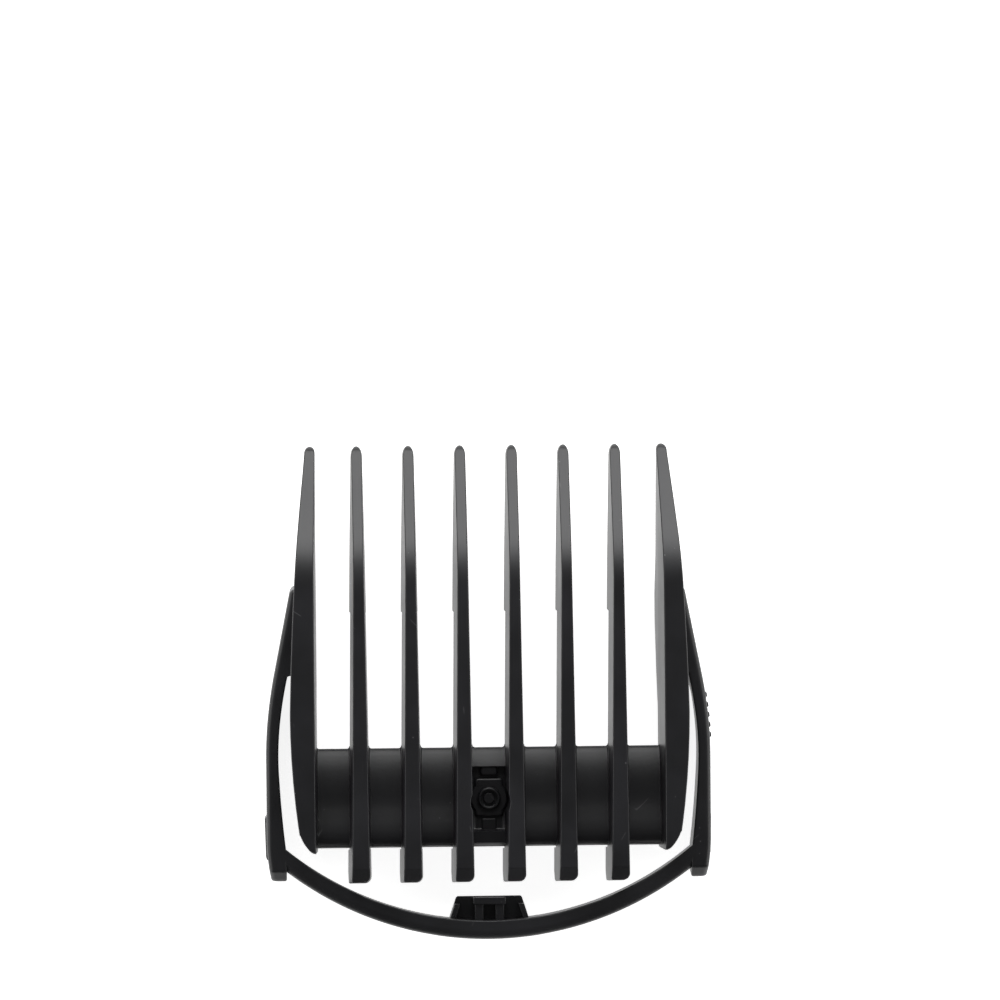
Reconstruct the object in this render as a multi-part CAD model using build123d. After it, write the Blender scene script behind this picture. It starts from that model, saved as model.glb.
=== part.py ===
from build123d import *
import os
from math import asin, degrees, radians, sqrt, tan

# A clip-on guide comb for a hair clipper, lying with its skin side up.
# X runs across the comb, Y towards the tooth tips, Z up from the rest plane. Millimetres.
# The comb is one moulding. Here it is divided at its borders, and where a leaf flexes it
# turns on a round knuckle in a round seat.

# ---- blade and teeth ----
blade_width = 44.2       # the clipper's blade, which lies on the bed
blade_play = 0.1         # room on each side of the blade
bed_length = 31.0        # from the heel stops to the tip stops
tooth_count = 6          # inner teeth, between the two guards
end_gap = 4.65           # clear gap between a guard and the tooth beside it, at the heel
tooth_reach = 21.6       # tip stop to tooth tip
heel_drop = 4.3          # bed end to the heel's lowest point
strap_drop = 11.6        # bed end to the strap's lowest point
comb_depth = 15.0        # rest plane to skin edge
tooth_depth = 7.4        # skin edge to blade bed
stop_height = 2.4        # the stops stand behind the bed by this
crown = 0.3              # rise of the skin edge along its length
tip_fall = 8.0           # the skin edge falls back by this at the tip
tip_depth = 1.5          # tooth depth at the tip
tip_round = 0.45         # the tip's rounding, as a share of its depth
bend_reach = 7.0         # tip stop to the bend of the skin edge
bend_radius = 14.0
heel_width = 2.34        # tooth widths at the skin plane
bend_width = 1.30
tip_width = 0.78
tooth_draft = 2.2        # degrees, each side, wider towards the bed
heel_lean = 0.2          # the heel's end face runs this far down as it goes back
heel_slope = 1.9         # the skin edge slopes off over this length at the heel
heel_slope_fall = 1.4
heel_chamfer = 1.3
heel_round = 0.5
tip_corner = 0.9         # roundings seen from the front, as shares of the half width
heel_corner_left = 0.2
heel_corner_right = 0.7

# ---- end guards ----
guard_heel_width = 1.95  # guard widths at the skin plane
guard_belly_width = 3.2
guard_tip_width = 1.3
guard_tip_inset = 0.05   # the inner face closes in by this at the tip
guard_lower_fall = 0.3   # the outer face's midpoints, in from its widest and out from a straight line
guard_upper_bow = 0.27
guard_toe = 0.45         # flat left at the heel, beside the cut corner
guard_heel_lean = 0.3
guard_lean = 3.0         # degrees, the guard leans inwards from the skin plane to the bed
guard_corner = 1.7       # cut corner at the heel
guard_corner_round = 3.0 # blends the cut corner into the outer face
guard_overrun = 0.05     # the guard's lower end stands past the bed's end
belly_place = 18.5       # bed end to the widest point
guard_rear_heel = 5.4    # height of the rear edge above the rest plane, beside the bar
guard_foot = 3.6         # length of the rear edge that rests

# ---- cross bar ----
bar_height = 12.9
bar_margin = 0.5         # bed end to the bar's lower edge
bar_upper_rise = 1.8     # heights of the front surface above the bed
bar_valley_rise = 2.15
bar_lower_rise = 2.9
bar_lip_rise = 1.7
bar_top_fall = 1.1       # from the crest to the top edge
bar_crest = 0.23         # places down the front surface, as shares of its height
bar_valley = 0.52
bar_lower = 0.88
bar_edge_round = 0.55
bar_crease_round = 1.2

# ---- pocket in the bar's middle ----
pocket_top = 2.5         # bar top to pocket
pocket_height = 8.2
pocket_floor = 0.45      # left above the bed
bore_radius = 2.54       # round clearance that also scallops the two middle teeth
pad_half = 1.85
pad_radius = 2.44        # the round middle of the pad
pad_rise = 0.55
pad_length = 5.0
ring_radius = 1.5
ring_bore = 1.08
ring_rise = 0.75
pip_radius = 0.8
pip_rise = 0.4
slot_height = 1.7

# ---- arms ----
arm_depth = 9.0
arm_rise = 4.2           # guard's widest point to the arm's knuckle
root_length = 11.6       # knuckle to the root's top
root_slope = 0.197       # outward run of the root for each millimetre down
arm_gap = 0.56           # slit between guard and arm at its top
knuckle_radius = 0.9     # arm knuckle, at the slit top
arm_bulge = 1.95         # knuckle centre to the leaf's outermost line
leaf_thickness = 1.6     # leaf at its thinnest
leaf_thin_drop = 9.8     # knuckle to the thinnest place
bulge_drop = 11.0        # knuckle to where the outer face runs straight
upper_swell = 0.15       # the inner face's midpoints, out from a straight line
lower_swell = 0.1
foot_thickness = 2.6
foot_tail = 3.5          # strap knuckle to the foot's end
foot_toe = 0.6           # the outer face turns in by this at the foot's end
rib_length = 5.9
rib_inset = 1.0          # foot's upper end to the thumb rib
rib_width = 2.6
rib_rise = 0.35
mark_count = 5
mark_drop = 2.4          # knuckle to the first mark
mark_pitch = 1.3
mark_size = 0.7
mark_low = 3.0
mark_high = 8.0
mark_rise = 0.2

# ---- strap and latch ----
strap_thickness = 2.4
strap_depth = 5.0
strap_end_rise = 4.0     # heel's lowest point up to the strap's end knuckle
knuckle_wall = 1.7       # strap knuckle centre to the foot's outer face
centre_half = 6.6        # latch middle to the strap's inner knuckles
pivot_clearance = 0.05   # radial, in each seat
open_clearance = 0.10    # radial, in the seat that closes the loop
flank_clearance = 0.42   # beside a strap end in its foot
seat_relief = 0.35       # a seat stops this far short of its axis
latch_top_half = 4.25
latch_base_half = 5.2
latch_reach = 3.0        # strap's inner edge to the latch's top
latch_plate_depth = 1.4
lip_height = 0.95
lip_half = 2.1
lip_rise = 3.6
latch_rib_width = 1.1
latch_rib_place = 1.35
latch_rib_rise = 3.0
cheek_width = 0.75
cheek_rise = 1.6

# ---- places worked out from the sizes ----
margin = 0.5                                   # how far a cutting or blank solid runs past
tip_y = (tooth_reach + bed_length + strap_drop) / 2
bed_top = tip_y - tooth_reach
bed_end = bed_top - bed_length
heel_y = bed_end - heel_drop
bend_y = bed_top + bend_reach
bed_z = comb_depth - tooth_depth
stop_z = bed_z - stop_height
skin_z = comb_depth - crown
tip_z = comb_depth - tip_fall
draft = tan(radians(tooth_draft))
lean = tan(radians(guard_lean))
guard_inner = blade_width / 2 + blade_play + lean * tooth_depth
tooth_pitch = 2 * (guard_inner - end_gap - heel_width / 2) / (tooth_count - 1)
belly_y = bed_end + belly_place
guard_end = bed_end - guard_overrun
guard_outer = guard_inner + guard_belly_width
bar_bottom = bed_end + bar_margin
bar_top = bar_bottom + bar_height
pocket_y = bar_top - pocket_top - pocket_height / 2
arm_y = belly_y + arm_rise
arm_x = guard_outer - lean * (comb_depth - arm_depth) + arm_gap + knuckle_radius
arm_outer = arm_x + arm_bulge
joint_x = arm_outer - knuckle_wall
joint_y = heel_y + strap_end_rise
strap_low = bed_end - strap_drop
strap_mid_low = strap_low + strap_thickness / 2
arc_drop = joint_y - strap_mid_low
arc_radius = (joint_x**2 + arc_drop**2) / (2 * arc_drop)
arc_y = strap_mid_low + arc_radius
inner_radius = arc_radius - strap_thickness / 2
outer_radius = arc_radius + strap_thickness / 2
centre_y = arc_y - sqrt(arc_radius**2 - centre_half**2)
strap_z = arm_depth - strap_depth
strap_knuckle = strap_thickness / 2
latch_base = strap_low + strap_thickness
latch_top = latch_base + latch_reach
latch_seat = strap_mid_low                     # below the strap's inner edge, before trimming
plate_z = strap_z + latch_plate_depth

os.makedirs("parts", exist_ok=True)


def save(name, solid):
    """Write one node's solid as a STEP file."""
    export_step(solid, f"parts/{name}.step")


def slab(outline, low, high):
    """Raise a closed outline in the XY plane between two heights."""
    return Pos(0, 0, low) * extrude(make_face(outline), high - low)


def block(x0, x1, y0, y1, z0, z1):
    """A box given by its limits."""
    centre = Pos((x0 + x1) / 2, (y0 + y1) / 2, (z0 + z1) / 2)
    return centre * Box(x1 - x0, y1 - y0, z1 - z0)


def post(x, y, radius, z0, z1):
    """A round post along Z."""
    return Pos(x, y, (z0 + z1) / 2) * Cylinder(radius, z1 - z0)


def mirrored(solid):
    """The same piece on the comb's left side."""
    return mirror(solid, about=Plane.YZ)


# ---- side views, drawn in the YZ plane ----

def side_solid(front_y, lower, rear, x0, x1):
    """The skin edge, bend and tip that all teeth share, closed by a lower end and a rear edge."""
    skin = ThreePointArc((front_y, skin_z), ((front_y + bend_y) / 2, comb_depth), (bend_y, skin_z))
    slope = Line((bend_y, skin_z), (tip_y, tip_z))
    back = Polyline((tip_y, tip_z), (tip_y, tip_z - tip_depth), *rear, *lower, (front_y, skin_z))
    face = Plane.YZ * make_face(Curve() + [skin, slope, back])
    corners = face.vertices()
    bend = corners.sort_by_distance((0, bend_y, skin_z))[0]
    face = fillet(bend, bend_radius)
    front_tip = face.vertices().sort_by_distance((0, tip_y, tip_z))[0]
    rear_tip = face.vertices().sort_by_distance((0, tip_y, tip_z - tip_depth))[0]
    face = fillet([front_tip, rear_tip], tip_depth * tip_round)
    heel = face.vertices().sort_by_distance((0, front_y, skin_z))[0]
    face = fillet(heel, heel_round)
    return Pos(x0, 0, 0) * extrude(face, x1 - x0)


def tooth_plan(depth):
    """A tooth's outline seen from the front, at a depth behind the skin plane."""
    grow = depth * draft
    rows = [(heel_y, heel_width), (bend_y, bend_width), (tip_y, tip_width)]
    right = [(width / 2 + grow, y) for y, width in rows]
    left = [(-x, y) for x, y in reversed(right)]
    outline = make_face(Polyline(*right, *left, close=True))
    tips = outline.vertices().sort_by(Axis.Y)
    outline = fillet(tips[-2:], (tip_width / 2 + grow) * tip_corner)
    half = heel_width / 2 + grow
    for side, share in ((-1, heel_corner_left), (1, heel_corner_right)):
        corner = outline.vertices().sort_by_distance((side * half, heel_y, 0))[0]
        outline = fillet(corner, half * share)
    return Pos(0, 0, comb_depth - depth) * outline


def inner_tooth():
    """One inner tooth, centred on X = 0, before the bar is let into it."""
    end_top = (heel_y + heel_lean, skin_z - heel_slope_fall)
    lower = [(heel_y + heel_chamfer, stop_z), (heel_y, stop_z + heel_chamfer), end_top]
    rear = [(bed_top, stop_z), (bed_top, bed_z), (bed_end, bed_z), (bed_end, stop_z)]
    half = heel_width / 2 + comb_depth * draft + margin
    side = side_solid(heel_y + heel_slope, lower, rear, -half, half)
    plan = loft([tooth_plan(-margin), tooth_plan(tooth_depth + stop_height + margin)], ruled=True)
    return side & plan


def guard_side():
    """The guard's side view, with the rear foot that it rests on."""
    rear = [
        (bend_y, stop_z - stop_height),
        (bed_top + guard_foot / 2, 0),
        (bed_top - guard_foot / 2, 0),
        (arm_y, guard_rear_heel / 2),
        (belly_y - arm_gap, guard_rear_heel),
    ]
    lower = [(guard_end, guard_rear_heel)]
    return side_solid(guard_end + guard_heel_lean, lower, rear, guard_inner / 2, guard_outer + margin)


def guard_cheek():
    """The right guard seen from the front, leaning in down to the bed and upright below it."""
    inner_heel = (guard_inner, guard_end)
    cut_low = (guard_inner + guard_toe, guard_end)
    cut_high = (guard_inner + guard_heel_width, guard_end + guard_corner)
    belly = (guard_outer, belly_y)
    tip_out = (guard_inner - guard_tip_inset + guard_tip_width, tip_y)
    tip_in = (guard_inner - guard_tip_inset, tip_y)
    below_mid = (guard_outer - guard_lower_fall, (cut_high[1] + belly_y) / 2)
    below = ThreePointArc(cut_high, below_mid, belly)
    above_mid = ((belly[0] + tip_out[0]) / 2 + guard_upper_bow, (belly_y + tip_y) / 2)
    above = ThreePointArc(belly, above_mid, tip_out)
    rest = Polyline(tip_out, tip_in, (guard_inner, bed_top), inner_heel, cut_low, cut_high)
    outline = make_face(Curve() + [below, above, rest])
    corner = outline.vertices().sort_by_distance((*cut_high, 0))[0]
    outline = fillet(corner, guard_corner_round)
    top = Pos(lean * margin, 0, comb_depth + margin) * outline
    middle = Pos(-lean * tooth_depth, 0, bed_z) * outline
    upright = Pos(-lean * tooth_depth, 0, -margin) * extrude(outline, bed_z + margin)
    return loft([middle, top], ruled=True) + upright


def bar(guards):
    """The trough-shaped bar, let in between the guards."""
    face_height = bar_height - 2 * bar_edge_round
    upper_y = bar_top - bar_edge_round
    crest_y = upper_y - bar_crest * face_height
    valley_y = upper_y - bar_valley * face_height
    lower_y = upper_y - bar_lower * face_height
    points = [
        (bar_bottom, bed_z),
        (bar_bottom, bed_z + bar_lip_rise),
        (lower_y, bed_z + bar_lower_rise),
        (valley_y, bed_z + bar_valley_rise),
        (crest_y, bed_z + bar_upper_rise),
        (bar_top, bed_z + bar_upper_rise - bar_top_fall),
        (bar_top, bed_z),
    ]
    section = Plane.YZ * make_face(Polyline(*points, close=True))
    front = [v for v in section.vertices() if v.Z > bed_z + bar_edge_round / 2]
    ends = [v for v in front if v.Y > bar_top - margin or v.Y < bar_bottom + margin]
    section = fillet(ends, bar_edge_round)
    creases = [v for v in section.vertices() if valley_y - margin < v.Y < crest_y + margin]
    section = fillet(creases, bar_crease_round)
    lower = section.vertices().sort_by_distance((0, lower_y, bed_z + bar_lower_rise))[0]
    section = fillet(lower, bar_crease_round)
    solid = extrude(section, guard_outer, both=True)
    for cheek in guards:
        solid = solid - cheek
    return solid.solids().sort_by_distance((0, bar_top, bed_z))[0]


# ---- arms and strap, drawn in the XY plane ----

def arm_outline():
    """The right arm from its root's top to its foot, as one closed curve."""
    top = (arm_x + knuckle_radius - root_slope * root_length, arm_y + root_length)
    knuckle_out = (arm_x + knuckle_radius, arm_y)
    knuckle_in = (arm_x - knuckle_radius, arm_y)
    thin_y = arm_y - leaf_thin_drop
    thin_in = (arm_outer - leaf_thickness, thin_y)
    foot_in = (arm_outer - foot_thickness, joint_y)
    foot_end_in = (foot_in[0], joint_y - foot_tail)
    foot_end_out = (arm_outer - foot_toe, joint_y - foot_tail)
    foot_out = (arm_outer, joint_y + strap_thickness)
    bulge_y = arm_y - bulge_drop
    shoulder = TangentArc(knuckle_out, (arm_outer, bulge_y), tangent=(root_slope, -1))
    straight = Line((arm_outer, bulge_y), foot_out)
    toe = TangentArc(foot_out, foot_end_out, tangent=(0, -1))
    sole = Polyline(foot_end_out, foot_end_in, foot_in)
    low_mid = (arm_outer - (leaf_thickness + foot_thickness) / 2 + lower_swell, (thin_y + joint_y) / 2)
    lower_in = ThreePointArc(foot_in, low_mid, thin_in)
    high_mid = ((thin_in[0] + knuckle_in[0]) / 2 + upper_swell, (thin_y + arm_y) / 2)
    upper_in = ThreePointArc(thin_in, high_mid, knuckle_in)
    guard_side = (guard_inner, arm_y)
    top_in = (guard_inner, top[1])
    root = Polyline(knuckle_in, guard_side, top_in, top, knuckle_out)
    return Curve() + [shoulder, straight, toe, sole, lower_in, upper_in, root]


def strap_band(x0, x1, spare, z0, z1):
    """The strap's arc between two X positions, thicker on each side by spare."""
    ring = post(0, arc_y, outer_radius + spare, z0, z1) - post(0, arc_y, inner_radius - spare, z0, z1)
    return ring & block(x0, x1, strap_low - 2 * margin, arc_y - inner_radius / 2, z0, z1)


def cut_at(x, y, away):
    """A half space, as a large box, across the strap at one of its knuckles."""
    reach = strap_thickness * 3
    turn = degrees_at(x)
    place = Pos(x, y, arm_depth / 2) * Rot(0, 0, turn) * Pos(away * reach, 0, 0)
    return place * Box(2 * reach, 2 * reach, 3 * arm_depth)


def degrees_at(x):
    """The strap's direction at X, in degrees from the X axis."""
    return degrees(asin(x / arc_radius))


def span():
    """The right half of the strap, from the foot's knuckle to the centre's."""
    band = strap_band(centre_half - margin, joint_x + strap_thickness, 0, strap_z, arm_depth)
    band = band - cut_at(joint_x, joint_y, 1) - cut_at(centre_half, centre_y, -1)
    band = band + post(joint_x, joint_y, strap_knuckle, strap_z, arm_depth)
    return band + post(centre_half, centre_y, strap_knuckle, strap_z, arm_depth)


def strap_middle():
    """The strap's centre, with a round seat for each span."""
    limit = centre_half - seat_relief
    middle = strap_band(-limit, limit, 0, strap_z, arm_depth)
    seats = ((-centre_half, pivot_clearance), (centre_half, open_clearance))
    for x, clearance in seats:
        middle = middle - post(x, centre_y, strap_knuckle + clearance, 0, arm_depth + margin)
    return middle


def arm():
    """The right arm's leaf and foot as one solid, with the seat for the strap's end."""
    whole = slab(arm_outline(), 0, arm_depth)
    leaf = whole - block(0, arm_outer + margin, arm_y, tip_y, -margin, arm_depth + margin)
    leaf = leaf + post(arm_x, arm_y, knuckle_radius, 0, arm_depth)
    bottom = strap_z - flank_clearance
    top = arm_depth + margin
    leaf = leaf - post(joint_x, joint_y, strap_knuckle + pivot_clearance, bottom, top)
    end_x = joint_x + strap_thickness
    end = strap_band(joint_x - foot_thickness, end_x, flank_clearance, bottom, top)
    return leaf - (end - cut_at(joint_x, joint_y, 1))


def arm_root(cheek):
    """The web that joins the right arm to its guard's face, with the seat for the arm's knuckle."""
    whole = slab(arm_outline(), 0, arm_depth)
    below = block(0, arm_outer + margin, -tip_y, arm_y + seat_relief, -margin, arm_depth + margin)
    root = whole - below
    root = root - post(arm_x, arm_y, knuckle_radius + pivot_clearance, -margin, arm_depth + margin)
    return (root - cheek).solids().sort_by(Axis.X)[-1]


def arm_marks(leaf):
    """A row of low plain marks that follow the leaf's curved outer face."""
    swollen = extrude(offset(make_face(arm_outline()), mark_rise), arm_depth)
    skin = swollen - leaf
    marks = []
    for index in range(mark_count):
        y = arm_y - mark_drop - index * mark_pitch
        window = block(arm_x, arm_outer + margin, y - mark_size, y, mark_low, mark_high)
        marks.append(skin & window)
    return Compound(children=[mark.solids().sort_by(Axis.X)[-1] for mark in marks])


def latch_half_width(y):
    """Half width of the latch at Y, from its wide base on the strap to its narrow top."""
    share = (y - latch_base) / latch_reach
    return latch_base_half + (latch_top_half - latch_base_half) * share


def latch_slice(y0, y1, z0, z1):
    """The latch's outline between two Y positions, trimmed to the inside of the strap's arc."""
    low, high = latch_half_width(y0), latch_half_width(y1)
    outline = Polyline((-low, y0), (low, y0), (high, y1), (-high, y1), close=True)
    return slab(outline, z0, z1) & post(0, arc_y, inner_radius, z0, z1)


def latch_cheek():
    """The right side wall of the latch, along the plate's slanted edge."""
    y0, y1 = latch_seat, latch_top - lip_height
    low, high = latch_half_width(y0), latch_half_width(y1)
    corners = ((low - cheek_width, y0), (low, y0), (high, y1), (high - cheek_width, y1))
    wall = slab(Polyline(*corners, close=True), plate_z, plate_z + cheek_rise)
    return wall & post(0, arc_y, inner_radius, 0, comb_depth)


# ---- build the fixed comb ----
right_cheek = guard_cheek()
right_guard = guard_side() & right_cheek
left_guard = mirrored(right_guard)
cross_bar = bar([right_guard, left_guard])
bar_blank = cross_bar

pocket_z = bed_z + pocket_floor
pocket_low = pocket_y - pocket_height / 2
pocket_high = pocket_y + pocket_height / 2
pocket_half = tooth_pitch / 2
pocket = block(-pocket_half, pocket_half, pocket_low, pocket_high, pocket_z, comb_depth)
cross_bar = cross_bar - pocket
round_room = post(0, pocket_y, bore_radius, pocket_z, comb_depth + margin)

tooth = inner_tooth()
for index in range(tooth_count):
    x = (index - (tooth_count - 1) / 2) * tooth_pitch
    placed = Pos(x, 0, 0) * tooth - bar_blank - round_room
    save(f"inner_tooth_{index + 1}", placed)
    cross_bar = cross_bar - placed

save("cross_bar", cross_bar)
save("right_guard", right_guard)
save("left_guard", left_guard)

pad_top = pocket_z + pad_rise
pad_low = pocket_low + slot_height
gate_pad = block(-pad_half, pad_half, pad_low, pad_low + pad_length, pocket_z, pad_top)
gate_pad = gate_pad + post(0, pocket_y, pad_radius, pocket_z, pad_top)
save("gate_pad", gate_pad)
gate_ring = post(0, pocket_y, ring_radius, pad_top, pad_top + ring_rise)
gate_ring = gate_ring - post(0, pocket_y, ring_bore, pad_top, comb_depth)
save("gate_ring", gate_ring)
save("gate_pip", post(0, pocket_y, pip_radius, pad_top, pad_top + pip_rise))

right_root = arm_root(right_cheek)
save("right_arm_root", right_root)
save("left_arm_root", mirrored(right_root))

# ---- build the flexing arms ----
right_arm = arm()
split_y = joint_y + rib_length
below_split = block(0, arm_outer + margin, -tip_y, split_y, -margin, arm_depth + margin)
leaf_only = right_arm - below_split
foot_only = right_arm & below_split
save("right_arm_leaf", leaf_only)
save("left_arm_leaf", mirrored(leaf_only))
save("right_arm_foot", foot_only)
save("left_arm_foot", mirrored(foot_only))

rib_top = split_y - rib_inset
rib_z = arm_depth / 2
rib_block = block(
    arm_outer - foot_thickness / 2, arm_outer + rib_rise,
    rib_top - rib_length, rib_top, rib_z - rib_width / 2, rib_z + rib_width / 2,
)
thumb_rib = (rib_block - foot_only).solids().sort_by(Axis.X)[-1]
save("right_thumb_rib", thumb_rib)
save("left_thumb_rib", mirrored(thumb_rib))
save("right_arm_marks", arm_marks(right_arm))

# ---- build the strap and latch ----
right_span = span()
save("right_strap_span", right_span)
save("left_strap_span", mirrored(right_span))
save("strap_centre", strap_middle())

save("latch_plate", latch_slice(latch_seat, latch_top, strap_z, plate_z))
lip = block(-lip_half, lip_half, latch_top - lip_height, latch_top, plate_z, strap_z + lip_rise)
save("latch_lip", lip)
rib_edge = latch_rib_place - latch_rib_width / 2
rib_box = block(
    rib_edge, rib_edge + latch_rib_width,
    latch_seat, latch_top - lip_height,
    plate_z, strap_z + latch_rib_rise,
)
latch_rib = rib_box & post(0, arc_y, inner_radius, 0, comb_depth)
save("right_latch_rib", latch_rib)
save("left_latch_rib", mirrored(latch_rib))
cheek = latch_cheek()
save("right_latch_cheek", cheek)
save("left_latch_cheek", mirrored(cheek))
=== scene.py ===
import math

import bmesh
import bpy
from mathutils import Matrix, Vector


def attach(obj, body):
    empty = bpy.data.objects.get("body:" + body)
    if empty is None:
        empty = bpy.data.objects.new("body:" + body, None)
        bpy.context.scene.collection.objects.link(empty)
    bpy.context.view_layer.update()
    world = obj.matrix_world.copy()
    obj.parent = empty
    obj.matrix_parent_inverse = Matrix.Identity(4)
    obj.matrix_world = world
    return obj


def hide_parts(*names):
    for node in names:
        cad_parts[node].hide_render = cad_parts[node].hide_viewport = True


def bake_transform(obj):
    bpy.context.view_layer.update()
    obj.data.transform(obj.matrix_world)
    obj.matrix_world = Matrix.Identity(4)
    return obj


# A clip-on guide comb for a hair clipper: one black moulding, lying with its skin side up.
# Sizes are millimetres here and become metres when a mesh is made.
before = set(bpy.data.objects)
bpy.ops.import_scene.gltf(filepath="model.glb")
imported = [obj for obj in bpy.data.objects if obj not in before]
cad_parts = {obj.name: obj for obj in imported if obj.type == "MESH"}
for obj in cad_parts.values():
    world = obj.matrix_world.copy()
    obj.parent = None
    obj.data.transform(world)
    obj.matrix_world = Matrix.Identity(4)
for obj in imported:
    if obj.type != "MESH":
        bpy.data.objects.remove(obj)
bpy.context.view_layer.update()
mm = 0.001
perMetre = 1000
creaseAngle = 48      # edges that turn more than this stay crisp
mergeWithin = 0.0000005
farAway = 9.0         # further from an end than any rounding reaches


def linear(hexColour):
    # sRGB hex to the linear colour that the shader takes
    parts = [int(hexColour[i:i + 2], 16) / 255 for i in (1, 3, 5)]
    lit = [part / 12.92 if part <= 0.04045 else ((part + 0.055) / 1.055) ** 2.4 for part in parts]
    return (*lit, 1.0)


def softRing(corners, radii, steps=4):
    # a closed ring of points: each corner is turned into a small soft bend
    ring = []
    for i, corner in enumerate(corners):
        back = corners[i - 1] - corner
        ahead = corners[(i + 1) % len(corners)] - corner
        reach = min(radii[i], 0.47 * back.length, 0.47 * ahead.length)  # so that two bends never meet
        start = corner + back.normalized() * reach
        end = corner + ahead.normalized() * reach
        for k in range(steps + 1):
            t = k / steps
            ring.append(start * (1 - t) ** 2 + corner * (2 * t * (1 - t)) + end * t * t)
    return ring


def levelRing(corners, radii, z):
    # a soft ring at one height, from (x, y) corners
    return softRing([Vector((x, y, z)) for x, y in corners], radii)


def crossRing(corners, radii, y, steps=4):
    # a soft ring across one place along Y, from (x, z) corners
    return softRing([Vector((x, y, z)) for x, z in corners], radii, steps)


def ease(edge, radius):
    # how far a round end has pulled in at this distance from the end
    if edge >= radius:
        return 0.0
    return radius - math.sqrt(max(0.0, radius ** 2 - (radius - edge) ** 2))


def curveThrough(p0, p1, p2, y):
    # x at y on the smooth curve through three (x, y) points
    total = 0.0
    for a, b, c in ((p0, p1, p2), (p1, p0, p2), (p2, p0, p1)):
        total += a[0] * (y - b[1]) * (y - c[1]) / ((a[1] - b[1]) * (a[1] - c[1]))
    return total


def bent(start, middle, end, share):
    # a soft bend from start to end, drawn towards the middle value
    return start * (1 - share) ** 2 + 2 * middle * share * (1 - share) + end * share ** 2


def polyAt(points, y):
    # value at y along straight runs, the points given from high y to low y
    for (ya, va), (yb, vb) in zip(points, points[1:]):
        if y >= yb:
            return va + (vb - va) * (y - ya) / (yb - ya)
    return points[-1][1]


def spaced(start, end, count):
    return [start + (end - start) * i / (count - 1) for i in range(count)]


def makePiece(name, lofts, material, mirror=False, wrap=False):
    # one mesh from one or more stacks of rings, capped at both ends unless it wraps round
    vertices = []
    faces = []
    for rings in lofts:
        base = len(vertices)
        size = len(rings[0])
        for ring in rings:
            vertices += [(-x * mm if mirror else x * mm, y * mm, z * mm) for x, y, z in ring]
        turns = len(rings) if wrap else len(rings) - 1
        for turn in range(turns):
            low = base + turn * size
            high = base + ((turn + 1) % len(rings)) * size
            for k in range(size):
                n = (k + 1) % size
                faces.append((low + k, low + n, high + n, high + k))
        if not wrap:
            faces.append(tuple(range(base, base + size))[::-1])
            last = base + (len(rings) - 1) * size
            faces.append(tuple(range(last, last + size)))
    mesh = bpy.data.meshes.new(name)
    mesh.from_pydata(vertices, [], faces)
    mesh.validate()
    work = bmesh.new()
    work.from_mesh(mesh)
    bmesh.ops.remove_doubles(work, verts=work.verts, dist=mergeWithin)
    bmesh.ops.recalc_face_normals(work, faces=work.faces)
    work.to_mesh(mesh)
    work.free()
    for polygon in mesh.polygons:
        polygon.use_smooth = True
    mesh.set_sharp_from_angle(angle=math.radians(creaseAngle))
    piece = bpy.data.objects.new(name, mesh)
    bpy.context.scene.collection.objects.link(piece)
    mesh.materials.append(material)
    weighted = piece.modifiers.new("evenNormals", "WEIGHTED_NORMAL")
    weighted.keep_sharp = True
    weighted.weight = 60
    return piece


def place(piece, body, slot, *nodes):
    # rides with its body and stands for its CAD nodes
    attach(piece, body)
    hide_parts(*nodes)


def addNode(tree, kind, settings=None, links=None):
    # one node, its fixed values and what is plugged into it
    node = tree.nodes.new(kind)
    for key, value in (settings or {}).items():
        if isinstance(key, int) or key in node.inputs:
            node.inputs[key].default_value = value
        else:
            setattr(node, key, value)
    for key, source in (links or {}).items():
        tree.links.new(source, node.inputs[key])
    return node


# pattern sizes are millimetres on the comb; each pair is where a pattern starts and is full
plasticLook = {
    "colour": "#131315", "worn": "#1b1b1e", "cloudMm": 9.0, "cloudFrom": 0.35, "cloudTo": 0.65,
    "roughness": 0.36, "roughSpread": 0.1, "bump": 0.5,
    "grainMm": 0.35, "grainDeep": 0.006,       # real spark erosion is finer and wouldn't show
    "lineWideMm": 0.22, "lineLongMm": 14.0,    # real draw lines are finer too
    "dust": "#9a9a9c", "dustShare": 0.3, "speckMm": 1.3, "speckFrom": 0.085, "speckTo": 0.03,
    "patchMm": 3.5, "patchFrom": 0.56, "patchTo": 0.66,
    "hairMm": 9.0, "hairShare": 0.5, "hairFrom": 0.0035, "hairTo": 0.001,
    "hairBreakMm": 2.6, "breakFrom": 0.7, "breakTo": 0.76,
}


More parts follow.
